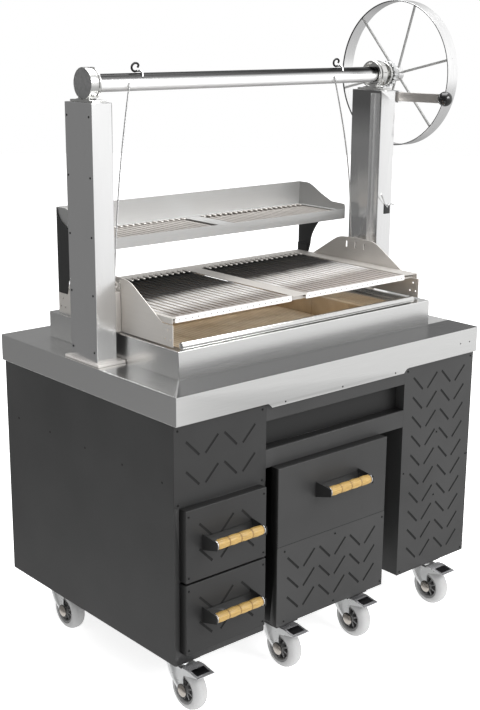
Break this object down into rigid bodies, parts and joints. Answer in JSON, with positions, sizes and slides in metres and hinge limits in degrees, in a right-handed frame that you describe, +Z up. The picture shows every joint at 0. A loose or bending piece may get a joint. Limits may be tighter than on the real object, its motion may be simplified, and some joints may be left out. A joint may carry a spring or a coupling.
{
  "type": "charcoal grill",
  "caption": "Charcoal grill cabinet on castors with a brick-lined firebox, a wheel-lifted V grate between two posts, a warming shelf, drawers and a pull-out cart.",
  "frame": {"origin": "middle of the bounding box's footprint, on the floor", "axes": "+Z up, -Y towards the cook at the front, +X to the cook's right"},
  "size_m": [1.286, 0.9344, 1.883],
  "materials": {
    "stainless": "brushed stainless sheet with bright folded edges",
    "black_coat": "fine-textured black powder coat",
    "firebrick": "ribbed tan firebrick",
    "grate_steel": "stainless V channels, heat-tinted",
    "black_steel": "satin black",
    "bamboo": "turned bamboo-look wood, satin",
    "castor_tyre": "light grey tread",
    "zinc": "zinc plated",
    "chrome": "polished",
    "knob_black": "glossy black",
    "cable_steel": "twisted steel wire"
  },
  "bodies": {
    "cabinet": {"worktop": "stainless", "left_column": "black_coat", "right_column": "black_coat", "bay_frame": "black_coat", "left_decor_panel": "black_coat", "right_decor_panel": "black_coat", "firebox": "stainless", "firebox_lip_bar": "stainless", "brick_bed": "firebrick", "left_post": "stainless", "right_post": "stainless", "left_bearing": "stainless", "right_bearing": "stainless", "opener_hook": "black_steel", "left_cable": "cable_steel", "right_cable": "cable_steel"},
    "carriage": {"left_carriage_plate": "stainless", "right_carriage_plate": "stainless", "left_slide_block": "stainless", "right_slide_block": "stainless", "grate_frame": "stainless", "left_grate": "grate_steel", "right_grate": "grate_steel", "warming_shelf": "stainless", "shelf_grate": "grate_steel", "left_shelf_arm": "black_steel", "right_shelf_arm": "black_steel"},
    "lift_shaft": {"lift_tube": "stainless", "ratchet_wheel": "zinc", "handwheel": "stainless"},
    "brake_lever": {"brake_lever": "stainless", "lever_knob": "knob_black"},
    "upper_drawer": {"upper_drawer": "black_coat", "upper_handle_bracket": "black_steel", "upper_grip": "bamboo"},
    "lower_drawer": {"lower_drawer": "black_coat", "lower_handle_bracket": "black_steel", "lower_grip": "bamboo"},
    "cart": {"cart_body": "black_coat", "cart_decor_panel": "black_coat", "cart_handle_bracket": "black_steel", "cart_grip": "bamboo"},
    "front_left_fork": {"front_left_fork": "zinc"},
    "front_left_wheel": {"front_left_wheel": "castor_tyre"},
    "front_left_pedal": {"front_left_pedal": "chrome"},
    "rear_left_fork": {"rear_left_fork": "zinc"},
    "rear_left_wheel": {"rear_left_wheel": "castor_tyre"},
    "front_right_fork": {"front_right_fork": "zinc"},
    "front_right_wheel": {"front_right_wheel": "castor_tyre"},
    "front_right_pedal": {"front_right_pedal": "chrome"},
    "rear_right_fork": {"rear_right_fork": "zinc"},
    "rear_right_wheel": {"rear_right_wheel": "castor_tyre"},
    "cart_left_fork": {"cart_left_fork": "zinc"},
    "cart_left_wheel": {"cart_left_wheel": "castor_tyre"},
    "cart_left_pedal": {"cart_left_pedal": "chrome"},
    "cart_right_fork": {"cart_right_fork": "zinc"},
    "cart_right_wheel": {"cart_right_wheel": "castor_tyre"},
    "cart_right_pedal": {"cart_right_pedal": "chrome"},
    "cart_rear_left_wheel": {"cart_rear_left_wheel": "castor_tyre"},
    "cart_rear_right_wheel": {"cart_rear_right_wheel": "castor_tyre"}
  },
  "joints": [
    {"name": "carriage_lift", "type": "slide", "parent": "cabinet", "child": "carriage", "axis": [0, 0, 1], "range_m": [0, 0.35], "deforming": ["left_cable", "right_cable"]},
    {"name": "wheel_turn", "type": "hinge", "parent": "cabinet", "child": "lift_shaft", "pos_m": [-0.043, 0.04315, 1.653], "axis": [-1, 0, 0], "range_deg": [0, 790]},
    {"name": "lever_swing", "type": "hinge", "parent": "cabinet", "child": "brake_lever", "pos_m": [0.548, -0.02485, 1.585], "axis": [0, 0, 1], "range_deg": [-12, 2]},
    {"name": "upper_drawer_slide", "type": "slide", "parent": "cabinet", "child": "upper_drawer", "axis": [0, -1, 0], "range_m": [0, 0.45]},
    {"name": "lower_drawer_slide", "type": "slide", "parent": "cabinet", "child": "lower_drawer", "axis": [0, -1, 0], "range_m": [0, 0.45]},
    {"name": "cart_roll_out", "type": "slide", "parent": "cabinet", "child": "cart", "axis": [0, -1, 0], "range_m": [0, 0.6]},
    {"name": "front_left_swivel", "type": "hinge", "parent": "cabinet", "child": "front_left_fork", "pos_m": [-0.596, -0.34435, 0.128], "axis": [0, 0, 1], "continuous": true},
    {"name": "front_left_roll", "type": "hinge", "parent": "front_left_fork", "child": "front_left_wheel", "pos_m": [-0.596, -0.38135, 0.061], "axis": [1, 0, 0], "continuous": true},
    {"name": "front_left_brake", "type": "hinge", "parent": "front_left_fork", "child": "front_left_pedal", "pos_m": [-0.596, -0.38325, 0.1285], "axis": [1, 0, 0], "range_deg": [0, 8]},
    {"name": "rear_left_swivel", "type": "hinge", "parent": "cabinet", "child": "rear_left_fork", "pos_m": [-0.584, 0.26115, 0.128], "axis": [0, 0, 1], "continuous": true},
    {"name": "rear_left_roll", "type": "hinge", "parent": "rear_left_fork", "child": "rear_left_wheel", "pos_m": [-0.584, 0.22415, 0.061], "axis": [1, 0, 0], "continuous": true},
    {"name": "front_right_swivel", "type": "hinge", "parent": "cabinet", "child": "front_right_fork", "pos_m": [0.401, -0.34435, 0.128], "axis": [0, 0, 1], "continuous": true},
    {"name": "front_right_roll", "type": "hinge", "parent": "front_right_fork", "child": "front_right_wheel", "pos_m": [0.401, -0.38135, 0.061], "axis": [1, 0, 0], "continuous": true},
    {"name": "front_right_brake", "type": "hinge", "parent": "front_right_fork", "child": "front_right_pedal", "pos_m": [0.401, -0.38325, 0.1285], "axis": [1, 0, 0], "range_deg": [0, 8]},
    {"name": "rear_right_swivel", "type": "hinge", "parent": "cabinet", "child": "rear_right_fork", "pos_m": [0.484, 0.26115, 0.128], "axis": [0, 0, 1], "continuous": true},
    {"name": "rear_right_roll", "type": "hinge", "parent": "rear_right_fork", "child": "rear_right_wheel", "pos_m": [0.484, 0.22415, 0.061], "axis": [1, 0, 0], "continuous": true},
    {"name": "cart_left_swivel", "type": "hinge", "parent": "cart", "child": "cart_left_fork", "pos_m": [-0.241, -0.33985, 0.128], "axis": [0, 0, 1], "continuous": true},
    {"name": "cart_left_roll", "type": "hinge", "parent": "cart_left_fork", "child": "cart_left_wheel", "pos_m": [-0.241, -0.37685, 0.061], "axis": [1, 0, 0], "continuous": true},
    {"name": "cart_left_brake", "type": "hinge", "parent": "cart_left_fork", "child": "cart_left_pedal", "pos_m": [-0.241, -0.37875, 0.1285], "axis": [1, 0, 0], "range_deg": [0, 8]},
    {"name": "cart_right_swivel", "type": "hinge", "parent": "cart", "child": "cart_right_fork", "pos_m": [0.048, -0.33985, 0.128], "axis": [0, 0, 1], "continuous": true},
    {"name": "cart_right_roll", "type": "hinge", "parent": "cart_right_fork", "child": "cart_right_wheel", "pos_m": [0.048, -0.37685, 0.061], "axis": [1, 0, 0], "continuous": true},
    {"name": "cart_right_brake", "type": "hinge", "parent": "cart_right_fork", "child": "cart_right_pedal", "pos_m": [0.048, -0.37875, 0.1285], "axis": [1, 0, 0], "range_deg": [0, 8]},
    {"name": "cart_rear_left_roll", "type": "hinge", "parent": "cart", "child": "cart_rear_left_wheel", "pos_m": [-0.241, 0.17115, 0.061], "axis": [1, 0, 0], "continuous": true},
    {"name": "cart_rear_right_roll", "type": "hinge", "parent": "cart", "child": "cart_rear_right_wheel", "pos_m": [0.048, 0.17115, 0.061], "axis": [1, 0, 0], "continuous": true}
  ],
  "couplings": [
    {"joint": "wheel_turn", "follows": "carriage_lift", "rad_per_m": 39.2}
  ]
}
